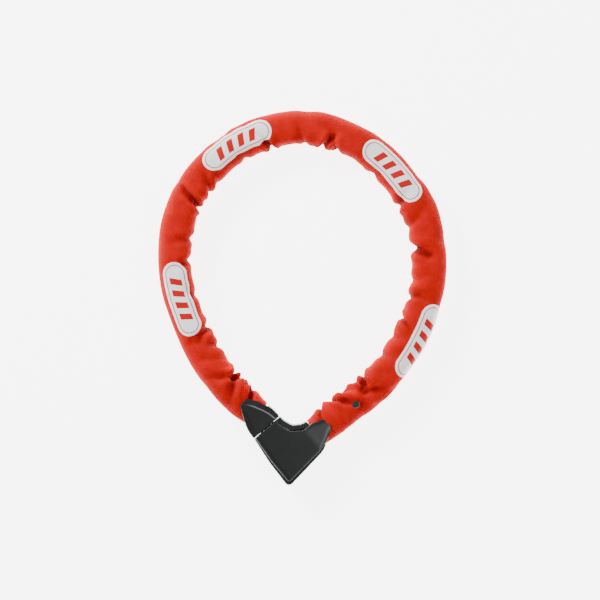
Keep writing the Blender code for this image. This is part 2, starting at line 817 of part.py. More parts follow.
def make_keyhole(lock):
    """The bezel in the flank, and the shutter that slides over the keyhole."""
    bezel = box("keyhole_bezel", BEZEL_X, BEZEL_Y, (-BEZEL_HALF_HEIGHT, BEZEL_HALF_HEIGHT))
    pocket_end = BEZEL_Y[0] + SHUTTER_POCKET_DEPTH
    pocket_half = SHUTTER_HALF_HEIGHT + GAP
    cut(bezel, box("shutter_pocket", SHUTTER_POCKET_X, (-5.0 * MM, pocket_end), (-pocket_half, pocket_half)), lock)
    half_wide = KEYWAY[0] / 2 + 0.4 * MM
    half_tall = KEYWAY[1] / 2 + 0.4 * MM
    hole = box("keyhole", (KEY_X - half_wide, KEY_X + half_wide), (0.0, 8.0 * MM), (-half_tall, half_tall))
    cut(bezel, hole, lock)
    place(bezel, "bezel_plastic", lock)
    shutter = box("keyhole_shutter", SHUTTER_X, SHUTTER_Y, (-SHUTTER_HALF_HEIGHT, SHUTTER_HALF_HEIGHT))
    add_bevel(shutter, 0.3 * MM)
    place(shutter, "bezel_plastic", lock)


def make_plug_core(lock):
    """The plug's steel core, with ears round the last link."""
    core = box("plug_core", (9.3 * MM, 32.7 * MM), (57.7 * MM, 61.7 * MM), (-EAR_TOP, EAR_TOP))
    ears = outline_solid("plug_ears", ear_outline(PLUG_PIN, 59.0 * MM, False), -EAR_TOP, EAR_TOP)
    boolean(core, as_cutter(ears, lock), "UNION")
    slot = box("plug_slot", (0.0, 45.0 * MM), (61.7 * MM, 90.0 * MM), (-EAR_LOW, EAR_LOW))
    cut(core, slot, lock)
    hole = cylinder(
        "plug_anchor_hole", ANCHOR_RADIUS + GAP, Vector((*PLUG_PIN, -EAR_TOP - MM)), "Z", 2 * EAR_TOP + 2 * MM, 20
    )
    cut(core, hole, lock)
    stud_hole = cylinder("stud_hole", 4.2 * MM, Vector((KEY_X, 50.0 * MM, 0.0)), "Y", 20.0 * MM, 20)
    cut(core, stud_hole, lock)
    place(core, "case_steel", lock)


def make_locking_pin(lock):
    """The locking pin and the seal ring at its root."""
    pin = turned("locking_pin", LOCKING_PIN_PROFILE)
    pin.location = (KEY_X, 0.0, 0.0)
    place(pin, "pin_steel", lock)
    centre = Vector((KEY_X, SEAL_Y[0], 0.0))
    seal = cylinder("pin_seal", SEAL_RADII[1], centre, "Y", SEAL_Y[1] - SEAL_Y[0])
    hole = cylinder("seal_hole", SEAL_RADII[0], Vector((KEY_X, 50.0 * MM, 0.0)), "Y", 20.0 * MM)
    cut(seal, hole, lock)
    place(seal, "seal_rubber", lock)


def make_lock():
    """The lock body and the plug, under one empty at the elbow."""
    lock = bpy.data.objects.new("lock_frame", None)
    PARTS.objects.link(lock)
    lock.location = ELBOW
    lock.rotation_euler = (0.0, 0.0, LOCK_TURN)
    make_body_covers(lock)
    make_plug_covers(lock)
    make_case(lock)
    make_anchor_pin("anchor_pin", FIXED_PIN, lock)
    make_anchor_pin("plug_anchor_pin", PLUG_PIN, lock)
    make_screws(lock)
    make_cylinder(lock)
    make_cam(lock)
    make_bolt(lock)
    make_keyhole(lock)
    make_plug_core(lock)
    make_locking_pin(lock)


clear_scene()
PARTS = new_collection("chain_lock")
CUTTERS = new_collection("cutters")
INNER_LENGTH, PIVOTS = fitted_chain()
make_links(INNER_LENGTH, PIVOTS)
make_sleeve(PIVOTS)
make_rivet()
make_lock()
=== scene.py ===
"""The looks of a chain lock: a woven sleeve on a steel chain, closed by an elbow-shaped lock and its plug."""

import json
import math

import bmesh
import bpy
import numpy as np
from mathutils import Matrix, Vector
from mathutils.geometry import delaunay_2d_cdt

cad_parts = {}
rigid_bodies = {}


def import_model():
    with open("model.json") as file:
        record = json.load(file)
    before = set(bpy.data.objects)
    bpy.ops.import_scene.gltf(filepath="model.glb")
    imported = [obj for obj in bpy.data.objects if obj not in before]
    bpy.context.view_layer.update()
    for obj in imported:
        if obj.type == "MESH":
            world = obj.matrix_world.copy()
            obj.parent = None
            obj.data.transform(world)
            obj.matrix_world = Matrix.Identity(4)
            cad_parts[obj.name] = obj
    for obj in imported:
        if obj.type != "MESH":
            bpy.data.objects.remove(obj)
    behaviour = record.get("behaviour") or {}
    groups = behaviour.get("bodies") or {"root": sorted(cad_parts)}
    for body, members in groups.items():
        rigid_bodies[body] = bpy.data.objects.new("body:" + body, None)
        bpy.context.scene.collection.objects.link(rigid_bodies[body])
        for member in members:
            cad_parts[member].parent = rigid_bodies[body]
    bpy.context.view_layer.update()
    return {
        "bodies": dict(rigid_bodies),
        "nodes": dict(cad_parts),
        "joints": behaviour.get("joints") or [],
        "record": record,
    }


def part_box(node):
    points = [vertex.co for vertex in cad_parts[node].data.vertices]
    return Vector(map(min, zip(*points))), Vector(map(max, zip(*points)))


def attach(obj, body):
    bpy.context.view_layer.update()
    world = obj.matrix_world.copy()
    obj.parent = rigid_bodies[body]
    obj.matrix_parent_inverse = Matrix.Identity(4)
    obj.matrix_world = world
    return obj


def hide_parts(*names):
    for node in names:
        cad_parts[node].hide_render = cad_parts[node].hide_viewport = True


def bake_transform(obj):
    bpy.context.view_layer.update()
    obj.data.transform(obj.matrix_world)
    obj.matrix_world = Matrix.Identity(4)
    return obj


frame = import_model()

MM = 0.001
NODES = frame["nodes"]
RECORD = frame["record"]

# ---------------------------------------------------------------- camera

CAMERA_HEIGHT = 2.5
CAMERA_LENS = 150.0
SENSOR_WIDTH = 36.0
CAMERA_PLACE = (-2.0 * MM, -2.5 * MM, 15.0 * MM + CAMERA_HEIGHT)

camera_data = bpy.data.cameras.new("camera")
camera_data.lens = CAMERA_LENS
camera_data.sensor_width = SENSOR_WIDTH
camera = bpy.data.objects.new("camera", camera_data)
camera.location = CAMERA_PLACE
bpy.context.scene.collection.objects.link(camera)
bpy.context.scene.camera = camera


# ---------------------------------------------------------------- the chain's middle line

ELBOW = np.array([-13.8, -185.7]) * MM
LOCK_TURN = math.radians(41.0)
LOCK_X = np.array([math.cos(LOCK_TURN), math.sin(LOCK_TURN)])
LOCK_Y = np.array([-math.sin(LOCK_TURN), math.cos(LOCK_TURN)])
MIDDLE_Z = 15.0 * MM
LINE_SPACING = 0.5 * MM
TANGENT_REACH = 3 * MM
# points of the loop: near the lock in its own plane, the rest in the row frame, all in millimetres
LOOP_IN_LOCK_AT_START = [(54.5, 19.8), (57.0, 19.7), (80.0, 19.0), (101.0, 17.6)]
LOOP_IN_LOCK_AT_END = [(17.4, 124.0), (18.2, 98.0), (21.4, 75.0), (21.8, 72.0)]
LOOP_FREE = [
    (71.2, -90.5),
    (95.2, -61.5),
    (112.7, -31.0),
    (124.2, 2.5),
    (127.7, 35.5),
    (123.7, 69.5),
    (110.2, 101.0),
    (63.7, 150.5),
    (-2.3, 170.8),
    (-68.3, 150.5),
    (-114.8, 100.5),
    (-126.8, 59.5),
    (-127.3, 24.5),
    (-118.8, -10.5),
    (-101.3, -50.5),
]


def lock_point(x, y):
    """A point of the lock's own plane, given in millimetres, in the row frame."""
    return ELBOW + LOCK_X * x * MM + LOCK_Y * y * MM


def smooth_path(points, spacing):
    """A centripetal Catmull-Rom curve through the points."""
    guide = [2 * points[0] - points[1], *points, 2 * points[-1] - points[-2]]
    path = []
    for index in range(1, len(guide) - 2):
        four = guide[index - 1 : index + 3]
        knots = [0.0]
        for one, two in zip(four, four[1:]):
            knots.append(knots[-1] + math.sqrt(np.linalg.norm(two - one)))
        steps = max(2, round(np.linalg.norm(four[2] - four[1]) / spacing))
        for step in range(steps):
            at = knots[1] + (knots[2] - knots[1]) * step / steps
            level = four
            for width in (1, 2, 3):
                level = [
                    level[i] * ((knots[i + width] - at) / (knots[i + width] - knots[i]))
                    + level[i + 1] * ((at - knots[i]) / (knots[i + width] - knots[i]))
                    for i in range(len(level) - 1)
                ]
            path.append(level[0])
    path.append(points[-1])
    return np.array(path)


LINE = smooth_path(
    [lock_point(*p) for p in LOOP_IN_LOCK_AT_START]
    + [np.array(p) * MM for p in LOOP_FREE]
    + [lock_point(*p) for p in LOOP_IN_LOCK_AT_END],
    LINE_SPACING,
)
LINE_AT = np.concatenate([[0.0], np.cumsum(np.linalg.norm(np.diff(LINE, axis=0), axis=1))])


def line_point(s):
    """Points of the middle line at lengths s along it."""
    return np.stack([np.interp(s, LINE_AT, LINE[:, k]) for k in (0, 1)], -1)


def line_outward(s):
    """Unit vectors out of the loop, square to the middle line, at lengths s."""
    ahead = line_point(np.clip(s + TANGENT_REACH, 0, LINE_AT[-1]))
    behind = line_point(np.clip(s - TANGENT_REACH, 0, LINE_AT[-1]))
    along = ahead - behind
    along /= np.linalg.norm(along, axis=-1, keepdims=True)
    return np.stack([along[..., 1], -along[..., 0]], -1)


def on_line(x, y):
    """(length along the line, distance outward) of a point given in millimetres."""
    point = np.array([x, y]) * MM
    nearest = int(np.argmin(np.linalg.norm(LINE - point, axis=1)))
    s = float(LINE_AT[nearest])
    return s, float((point - LINE[nearest]) @ line_outward(np.array([s]))[0])


# ---------------------------------------------------------------- node helpers


class Shader:
    """A material and short calls that add nodes to it."""

    def __init__(self, name, **sockets):
        self.material = bpy.data.materials.new(name)
        self.material.use_nodes = True
        self.tree = self.material.node_tree
        self.principled = self.tree.nodes["Principled BSDF"]
        for key, value in sockets.items():
            self.principled.inputs[key.replace("_", " ")].default_value = value

    def node(self, kind, values=(), **settings):
        made = self.tree.nodes.new(kind)
        for key, value in settings.items():
            setattr(made, key, value)
        for key, value in dict(values).items():
            if isinstance(value, bpy.types.NodeSocket):
                self.tree.links.new(value, made.inputs[key])
            else:
                made.inputs[key].default_value = value
        return made

    def math(self, operation, *values):
        return self.node("ShaderNodeMath", dict(enumerate(values)), operation=operation).outputs[0]

    def noise(self, vector, scale, detail, roughness=0.5):
        values = {"Vector": vector, "Scale": scale, "Detail": detail, "Roughness": roughness}
        return self.node("ShaderNodeTexNoise", values).outputs["Fac"]

    def place(self):
        return self.node("ShaderNodeTexCoord").outputs["Object"]

    def attribute(self, name):
        return self.node("ShaderNodeAttribute", attribute_name=name).outputs["Fac"]

    def spread(self, value, low, high, to_low, to_high):
        values = {"Value": value, "From Min": low, "From Max": high, "To Min": to_low, "To Max": to_high}
        return self.node("ShaderNodeMapRange", values, interpolation_type="SMOOTHSTEP").outputs[0]

    def mix(self, factor, one, two):
        made = self.node("ShaderNodeMix", data_type="RGBA")
        for index, value in ((0, factor), (6, one), (7, two)):
            if isinstance(value, bpy.types.NodeSocket):
                self.tree.links.new(value, made.inputs[index])
            else:
                made.inputs[index].default_value = value
        return made.outputs[2]

    def bump(self, height, distance, strength):
        values = {"Height": height, "Distance": distance, "Strength": strength}
        return self.node("ShaderNodeBump", values).outputs[0]

    def set(self, **sockets):
        for key, value in sockets.items():
            self.tree.links.new(value, self.principled.inputs[key.replace("_", " ")])


# ---------------------------------------------------------------- materials

RED = (0.60, 0.002, 0.0005, 1.0)
RED_DEEP = (0.41, 0.002, 0.001, 1.0)
# painted shade: the deep red that the sleeve's fold grooves are darkened to
RED_PAINTED_SHADE = (0.10, 0.0015, 0.001, 1.0)
RED_PRINT = (0.52, 0.004, 0.004, 1.0)
PATCH_WHITE = (0.96, 0.96, 0.96, 1.0)
# painted highlight: the light grey painted along the plug's ridge
HIGHLIGHT_GREY = (0.14, 0.145, 0.145, 1.0)
SHEEN_TINT = (1.0, 0.25, 0.2, 1.0)

WEAVE = 1.15 * MM
WEAVE_DEPTH = 0.10 * MM
PAINTED_CREASE_SHADE = 0.8

PATCH_LENGTH = 76.0 * MM
PATCH_HALF_WIDTH = 12.0 * MM
PATCH_STRAIGHT = PATCH_LENGTH / 2 - PATCH_HALF_WIDTH
PATCH_EDGE_BLUR = 0.15 * MM
OUTLINE_INSET = 3.1 * MM
OUTLINE_HALF = 0.3 * MM
OUTLINE_END = 0.6 * MM
BAR_PITCH = 12.0 * MM
BAR_SLANT = 0.35
BAR_HALF_HEIGHT = 5.6 * MM
BARS_HALF_LENGTH = 2.0 * BAR_PITCH
BAR_BLUR = 0.4 * MM


def fabric_material():
    """Woven polyester with printed white patches; every coordinate is stored on the mesh, in metres."""
    m = Shader("woven_sleeve", Specular_IOR_Level=0.12, Sheen_Weight=0.03, Sheen_Roughness=0.4)
    m.principled.inputs["Sheen Tint"].default_value = SHEEN_TINT
    along, across = m.attribute("along"), m.attribute("across")
    u, v = m.attribute("patch_u"), m.attribute("patch_v")
    warp = m.math("SINE", m.math("MULTIPLY", along, math.tau / WEAVE))
    weft = m.math("SINE", m.math("MULTIPLY", across, math.tau / WEAVE))
    weave = m.math("MULTIPLY", warp, weft)
    flat = m.node("ShaderNodeCombineXYZ", {0: along, 1: across}).outputs[0]
    fibre = m.noise(flat, 2600.0, 2.0)
    cloudy = m.noise(flat, 55.0, 3.0)
    mottle = m.math("ADD", cloudy, m.math("MULTIPLY", fibre, 0.35))
    tone = m.math("ADD", m.math("MULTIPLY", weave, 0.16), mottle)
    red = m.mix(m.spread(tone, 0.35, 0.95, 0.0, 1.0), RED_DEEP, RED)
    # painted shade: the red darkens toward a deep red in the grooves of the folds, where shade falls
    red = m.mix(m.math("MULTIPLY", m.attribute("crease_shade"), PAINTED_CREASE_SHADE), red, RED_PAINTED_SHADE)
    # distance from the patch's edge, below zero inside it
    past = m.math("MAXIMUM", m.math("SUBTRACT", m.math("ABSOLUTE", u), PATCH_STRAIGHT), 0.0)
    length = m.math("SQRT", m.math("ADD", m.math("MULTIPLY", past, past), m.math("MULTIPLY", v, v)))
    edge = m.math("SUBTRACT", length, PATCH_HALF_WIDTH)
    inside = m.spread(edge, -PATCH_EDGE_BLUR, PATCH_EDGE_BLUR, 1.0, 0.0)
    line = m.math("ABSOLUTE", m.math("ADD", edge, OUTLINE_INSET))
    outline = m.spread(line, OUTLINE_HALF, OUTLINE_END, 1.0, 0.0)
    slant = m.math("ADD", u, m.math("MULTIPLY", v, BAR_SLANT))
    wave = m.math("COSINE", m.math("MULTIPLY", slant, math.tau / BAR_PITCH))
    bars = m.spread(wave, 0.0, 0.2, 1.0, 0.0)
    low = m.spread(m.math("ABSOLUTE", v), BAR_HALF_HEIGHT, BAR_HALF_HEIGHT + BAR_BLUR, 1.0, 0.0)
    near = m.spread(m.math("ABSOLUTE", slant), BARS_HALF_LENGTH, BARS_HALF_LENGTH + BAR_BLUR, 1.0, 0.0)
    mark = m.math("MULTIPLY", bars, m.math("MULTIPLY", low, near))
    printed = m.math("MAXIMUM", outline, mark)
    patch = m.mix(printed, PATCH_WHITE, RED_PRINT)
    m.set(Base_Color=m.mix(inside, red, patch))
    m.set(Roughness=m.spread(inside, 0.0, 1.0, 0.84, 0.5))
    height = m.math("ADD", weave, m.math("MULTIPLY", fibre, 0.6))
    soft = m.math("MULTIPLY", height, m.spread(inside, 0.0, 1.0, 1.0, 0.3))
    m.set(Normal=m.bump(soft, WEAVE_DEPTH, 0.9))
    return m.material


def plastic_material(name, color, rough):
    """Moulded plastic with a fine grain and a little wear, and a painted highlight where the mesh stores an
    edge.
    """
    m = Shader(name, Specular_IOR_Level=0.38)
    place = m.place()
    grain = m.noise(place, 1900.0, 2.0, 0.6)
    cloudy = m.noise(place, 70.0, 4.0, 0.6)
    worn = m.noise(place, 420.0, 5.0, 0.7)
    light = tuple(min(1.0, c * 1.35) for c in color)
    base = m.mix(m.spread(cloudy, 0.35, 0.7, 0.0, 1.0), (*color, 1.0), (*light, 1.0))
    # painted highlight: the colour turns light grey where the edge attribute is set
    m.set(Base_Color=m.mix(m.attribute("edge"), base, HIGHLIGHT_GREY))
    grained = m.spread(grain, 0.3, 0.7, rough - 0.05, rough + 0.08)
    m.set(Roughness=m.math("ADD", grained, m.spread(worn, 0.6, 0.8, 0.0, -0.08)))
    m.set(Normal=m.bump(grain, 0.035 * MM, 0.7))
    return m.material


def metal_material(name, color, rough, brushed=0.5):
    """Plated or machined metal with fine scratches along one way."""
    m = Shader(name, Metallic=1.0)
    place = m.place()
    stretched = m.node("ShaderNodeMapping", {"Vector": place, "Scale": (1.0, 1.0, 14.0)}).outputs[0]
    scratch = m.noise(stretched, 900.0, 4.0, 0.7)
    cloudy = m.noise(place, 120.0, 4.0, 0.6)
    dark = tuple(c * 0.72 for c in color)
    m.set(Base_Color=m.mix(m.spread(cloudy, 0.3, 0.7, 0.0, 1.0), (*dark, 1.0), (*color, 1.0)))
    m.set(Roughness=m.spread(scratch, 0.3, 0.7, rough - 0.07, rough + 0.1))
    m.set(Normal=m.bump(scratch, 0.02 * MM, brushed))
    return m.material


FINISHES = {
    "link_steel": metal_material("zinc_plated_steel", (0.56, 0.55, 0.50), 0.34),
    "cover_plastic": plastic_material("cover_plastic", (0.0050, 0.0060, 0.0060), 0.36),
    "plug_plastic": plastic_material("plug_plastic", (0.0058, 0.0068, 0.0068), 0.34),
    "case_steel": metal_material("case_steel", (0.48, 0.48, 0.48), 0.38),
    "pin_steel": metal_material("ground_steel", (0.64, 0.64, 0.64), 0.2, 0.3),
    "cylinder_brass": metal_material("machined_brass", (0.74, 0.55, 0.26), 0.28),
    "rotor_steel": metal_material("rotor_steel", (0.58, 0.58, 0.57), 0.26),
    "bezel_plastic": plastic_material("bezel_plastic", (0.010, 0.0105, 0.011), 0.5),
    "seal_rubber": plastic_material("seal_rubber", (0.008, 0.008, 0.008), 0.75),
    "screw_steel": metal_material("blackened_steel", (0.16, 0.16, 0.165), 0.36),
    "rivet_metal": plastic_material("rivet_enamel", (0.014, 0.018, 0.016), 0.2),
}
FABRIC = fabric_material()

SLOT_OF = {part["node"]: part["material_slot"] for part in RECORD["subparts"]}
SLEEVES = sorted(n for n in NODES if n.startswith("sleeve_") and n != "sleeve_rivet")
COVERS = ["front_cover", "rear_cover", "plug_front_cover", "plug_rear_cover", "keyhole_bezel"]
WELD_DISTANCE = 0.002 * MM
EDGE_ROUNDING = 0.35 * MM
EDGE_ANGLE = math.radians(28)

for name, node in NODES.items():
    if name in SLEEVES:
        continue
    node.data.materials.clear()
    node.data.materials.append(FINISHES[SLOT_OF[name]])
    weld = node.modifiers.new("weld", "WELD")
    weld.merge_threshold = WELD_DISTANCE
    if name in COVERS:
        bevel = node.modifiers.new("edges", "BEVEL")
        bevel.width = EDGE_ROUNDING
        bevel.segments = 2
        bevel.limit_method = "ANGLE"
        bevel.angle_limit = EDGE_ANGLE

# ---------------------------------------------------------------- the sleeve

RING_STEP = 1.3 * MM
AROUND = 96
SECTION_POWER = 2.7
HALF_WIDTH = 16.4 * MM
HALF_HEIGHT = 14.6 * MM
FLOOR_GAP = 0.35 * MM
START_S = 0.0
END_S = float(LINE_AT[-1])
START_FULL = 16.0 * MM
END_FULL = 18.0 * MM
TUCKED_HALF_HEIGHT = 11.6 * MM
END_TAPER = 22 * MM
END_NARROWING = 0.12
SEED = 41
LINK_BEAT = 64.5 * MM
FIRST_LINK_AT = 0.5 * 23.1 * MM
SAG_COUNT = 26
SMALL_FOLD_COUNT = 120
FOLD_ARM = 14 * MM
PATCH_NEAR = 0.06
PATCH_RISE = 0.3 * MM
FLOOR_SOFTNESS = 0.5 * MM
BLEND_INSET = 4 * MM

# x, y of the fold's inner end, depth and half width in millimetres, then slant and reach round the section
FOLDS = [
    (66, -81.5, 4.4, 3.0, -0.55, 1.35),
    (58, -93, 2.2, 3.4, 0.5, 1.6),
    (46, -95, 2.0, 3.0, -0.4, 1.1),
    (31, -109, 3.6, 2.8, 0.7, 1.7),
    (22, -113, 3.2, 2.6, -0.5, 1.7),
    (43, -102, 2.6, 2.8, 0.9, 1.7),
    (82, -60, 2.2, 4.2, 0.3, 1.0),
    (92, -40, 1.6, 4.0, 0.2, 1.2),
    (104, -21, 3.0, 3.2, -0.4, 1.2),
    (114, -2.5, 2.6, 3.4, 0.3, 1.1),
    (112, 17, 1.4, 4.0, 0.2, 1.4),
    (118, 50.5, 4.6, 4.4, -0.3, 1.25),
    (110, 70, 1.6, 4.0, 0.4, 1.7),
    (104, 95, 3.2, 3.6, 0.3, 1.3),
    (74, 127, 2.0, 5.0, -0.3, 0.9),
    (38, 152, 3.0, 3.0, 0.5, 1.3),
    (22, 160, 4.2, 2.6, -0.4, 1.0),
    (4, 156, 1.6, 3.2, 0.4, 1.6),
    (-31, 156, 5.2, 2.8, 0.45, 1.5),
    (-56, 138, 1.8, 3.6, 0.3, 1.0),
    (-83, 112, 1.6, 4.2, -0.4, 1.6),
    (-95, 106, 2.6, 3.0, -0.5, 1.4),
    (-109, 91.5, 4.0, 2.6, -0.3, 1.9),
    (-112, 60, 2.0, 3.4, 0.2, 1.6),
    (-113, 38, 2.4, 3.6, 0.3, 1.1),
    (-106, 2, 1.8, 4.0, -0.3, 1.0),
    (-96, -28, 3.4, 3.4, 0.4, 1.2),
    (-86, -50, 2.2, 3.4, -0.4, 1.2),
    (-80, -84, 4.8, 3.2, 0.5, 1.5),
    (-72, -92, 3.4, 3.0, -0.6, 1.7),
    (-66, -99, 2.8, 2.6, 0.8, 1.7),
    (-60, -103, 2.8, 2.8, 0.3, 1.3),
]

LINK_SAMPLES = 12
LINK_MARGIN = 0.7 * MM
GUARD_SPREAD = 3

# x, y of the patches' middles in millimetres
PATCHES = [(-66, 154), (91, 127), (-121, -2), (119, -45)]


def smooth(t):
    """0 to 1 with level ends, for t from 0 to 1."""
    t = np.clip(t, 0, 1)
    return t * t * (3 - 2 * t)


def fold_shape(offset, width):
    """A fold's cross profile: a groove with a low ridge on each side."""
    ridges = np.exp(-(((np.abs(offset) - 1.9 * width) / (0.95 * width)) ** 2))
    return -np.exp(-((offset / width) ** 2)) + 0.42 * ridges


def neighbours(grid, ringwise):
    """The grid moved by one cell each way, along the rings or round them."""
    if ringwise:
        return np.roll(grid, 1, axis=1), np.roll(grid, -1, axis=1)
    return np.vstack([grid[:1], grid[:-1]]), np.vstack([grid[1:], grid[-1:]])


def link_guard(s, angle):
    """The least distance from the middle line, by ring and direction, that keeps cloth clear of the links."""
    samples = []
    for name in NODES:
        if not name.startswith("link_"):
            continue
        mesh = NODES[name].data
        ends = np.array([[tuple(mesh.vertices[v].co) for v in edge.vertices] for edge in mesh.edges])
        for share in np.linspace(0, 1, LINK_SAMPLES)[:, None]:
            samples.append(ends[:, 0] * (1 - share) + ends[:, 1] * share)
    samples = np.unique(np.round(np.concatenate(samples), 4), axis=0)
    gap = np.linalg.norm(samples[:, None, :2] - LINE[None, ::2], axis=2)
    nearest = gap.argmin(1) * 2
    at = LINE_AT[nearest]
    out = np.sum((samples[:, :2] - LINE[nearest]) * line_outward(at), axis=1)
    up = samples[:, 2] - MIDDLE_Z
    distance, turn = np.hypot(out, up), np.arctan2(up, out)
    ring = np.clip(np.round((at - s[0, 0]) / (s[1, 0] - s[0, 0])).astype(int), 0, len(s) - 1)
    column = np.round((turn - angle[0, 0]) / math.tau * AROUND).astype(int) % AROUND
    reach = np.zeros((len(s), AROUND))
    np.maximum.at(reach, (ring, column), distance)
    for _ in range(GUARD_SPREAD):
        for ringwise in (True, False):
            before, after = neighbours(reach, ringwise)
            reach = np.maximum(reach, np.maximum(before, after))
    for _ in range(GUARD_SPREAD):
        for ringwise in (True, False):
            before, after = neighbours(reach, ringwise)
            reach = (before + 2 * reach + after) / 4
    reach = np.concatenate([reach, reach[:, :1]], 1)
    return np.where(reach > 0, reach + LINK_MARGIN, 0)


def sleeve_surface():
    """Points, and the stored coordinates, of the whole sleeve as a grid of rings."""
    count = int(round((END_S - START_S) / RING_STEP))
    s = np.linspace(START_S, END_S, count + 1)[:, None]
    angle = (np.arange(AROUND + 1) / AROUND * math.tau - math.pi / 2)[None, :]
    cosine, sine = np.cos(angle), np.sin(angle)
    inner = 1 / (1 + np.exp(cosine * 4))
    rng = np.random.default_rng(SEED)

    # the chain inside: standing links lift the top, flat links push the sides out
    beat = np.cos((s - FIRST_LINK_AT) / LINK_BEAT * math.tau)
    half_width = HALF_WIDTH + 0.35 * MM * beat
    half_height = HALF_HEIGHT - 0.45 * MM * beat
    for _ in range(SAG_COUNT):
        at, wide = rng.uniform(START_S, END_S), rng.uniform(14, 34) * MM
        bump = np.exp(-(((s - at) / wide) ** 2))
        half_width = half_width + bump * rng.uniform(-0.5, 0.5) * MM
        half_height = half_height + bump * rng.uniform(-0.25, 0.3) * MM
    tucked = smooth(np.minimum((s - START_S - 12 * MM) / START_FULL, (END_S - 14 * MM - s) / END_FULL))
    half_height = TUCKED_HALF_HEIGHT + (half_height - TUCKED_HALF_HEIGHT) * tucked
    ends = smooth(np.minimum((s - START_S) / END_TAPER, (END_S - s) / END_TAPER))
    half_width = half_width * (1 - END_NARROWING + END_NARROWING * ends)

    share = np.abs(cosine / half_width) ** SECTION_POWER + np.abs(sine / half_height) ** SECTION_POWER
    radius = share ** (-1 / SECTION_POWER)
    radius = radius + 0.9 * MM * np.clip(-cosine, 0, 1) ** 2
    x, z = radius * cosine, radius * sine
    step = np.hypot(np.diff(x, axis=1), np.diff(z, axis=1))
    walked = np.concatenate([np.zeros((len(s), 1)), np.cumsum(step, axis=1)], 1)
    across = walked[:, AROUND // 2][:, None] - walked

    push = np.zeros_like(x)
    from_inner = np.abs(np.angle(np.exp(1j * (angle - math.pi))))
    upper = np.where(sine >= 0, 1.0, -1.0)
    for fx, fy, depth, width, slant, reach in FOLDS:
        at, _ = on_line(fx, fy)
        arc = from_inner * FOLD_ARM
        centre = at + slant * arc * (1 + 0.25 * upper)
        strength = np.exp(-((from_inner / (1.3 * reach)) ** 2.6))
        half = 1.1 * width * MM * (1 + 0.3 * from_inner)
        push += 1.15 * depth * MM * strength * fold_shape(s - centre, half)
    for _ in range(SMALL_FOLD_COUNT):
        at, around = rng.uniform(START_S, END_S), rng.normal(math.pi, 1.6)
        width, reach = rng.uniform(3.2, 8.0) * MM, rng.uniform(0.5, 1.2)
        turn = np.angle(np.exp(1j * (angle - around)))
        centre = at + rng.uniform(-0.9, 0.9) * turn * FOLD_ARM
        depth = rng.uniform(0.35, 1.5) * MM
        strength = depth * (1 - 0.6 * inner) * np.exp(-((turn / reach) ** 2))
        push += strength * fold_shape(s - centre, width)
    inner_share = 0.35 + 0.65 * inner
    push = push * np.where(push > 0, 0.7, 1.0) * (0.7 + 0.3 * inner_share)
    push *= 0.25 + 0.75 * ends

    # patches stand a little proud and hold the cloth flatter
    patch_u = np.full_like(x, 1.0)
    patch_v = np.full_like(x, 1.0)
    hold = np.zeros_like(x)
    for px, py in PATCHES:
        at, out = on_line(px, py)
        u, v = s - at + 0 * x, across - out
        distance = np.hypot(np.maximum(np.abs(u) - PATCH_STRAIGHT, 0), v) - PATCH_HALF_WIDTH
        close = np.abs(u) < PATCH_NEAR
        patch_u = np.where(close, u, patch_u)
        patch_v = np.where(close, v, patch_v)
        hold = np.maximum(hold, smooth(-distance / (1.2 * MM) + 0.5))
    push = push * (1 - 0.45 * hold) + PATCH_RISE * hold

    size = np.hypot(x, z)
    wanted = np.maximum(size + push, link_guard(s, angle))
    x, z = x * wanted / size, z * wanted / size
    z = MIDDLE_Z + z
    # the cloth lies on the floor
    low = FLOOR_GAP + FLOOR_SOFTNESS
    z = np.where(z < low, FLOOR_GAP + FLOOR_SOFTNESS * np.exp((z - low) / FLOOR_SOFTNESS), z)
    flat = line_point(s[:, 0])[:, None, :] + line_outward(s[:, 0])[:, None, :] * x[..., None]
    points = np.concatenate([flat, z[..., None]], -1)
    # painted shade: how deep each groove is, stored so that the fabric's colour darkens there
    crease_shade = smooth((-push - 0.5 * MM) / (2.8 * MM))
    fields = {"along": s + 0 * x, "across": across, "patch_u": patch_u, "patch_v": patch_v, "crease_shade": crease_shade}
    return s[:, 0], points, fields


def grid_normals(points):
    """Vertex normals of the ring grid, from its neighbours along and around."""
    along = np.gradient(points, axis=0)
    ring = points[:, :-1]
    around = np.roll(ring, -1, axis=1) - np.roll(ring, 1, axis=1)
    around = np.concatenate([around, around[:, :1]], 1)
    normal = np.cross(around, along)
    return normal / np.linalg.norm(normal, axis=-1, keepdims=True)


def make_piece(name, rings, points, normals, fields):
    """One length of the sleeve, between two of its rings."""
    first, last = rings
    rows = last - first + 1
    mesh = bpy.data.meshes.new(name)
    part = points[first : last + 1].reshape(-1, 3)
    faces = []
    wide = AROUND + 1
    for row in range(rows - 1):
        for k in range(AROUND):
            here, above = row * wide + k, (row + 1) * wide + k
            faces.append((here, here + 1, above + 1, above))
    mesh.from_pydata(part.tolist(), [], faces)
    mesh.materials.append(FABRIC)
    for key, values in fields.items():
        stored = mesh.attributes.new(key, "FLOAT", "POINT")
        stored.data.foreach_set("value", values[first : last + 1].astype(np.float32).ravel())
    mesh.polygons.foreach_set("use_smooth", [True] * len(faces))
    mesh.update()
    mesh.normals_split_custom_set_from_vertices(normals[first : last + 1].reshape(-1, 3).tolist())
    made = bpy.data.objects.new(name, mesh)
    bpy.context.scene.collection.objects.link(made)
    return made


def chain_order():
    """The chain's bodies in order, and the length along the line at the middle of each one's link."""
    bodies = sorted(b for b in frame["bodies"] if b.startswith("chain_"))
    middles = []
    for body in bodies:
        low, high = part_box("link_" + body[6:])
        centre = (low + high) / 2
        middles.append(on_line(centre.x / MM, centre.y / MM)[0])
    return bodies, middles


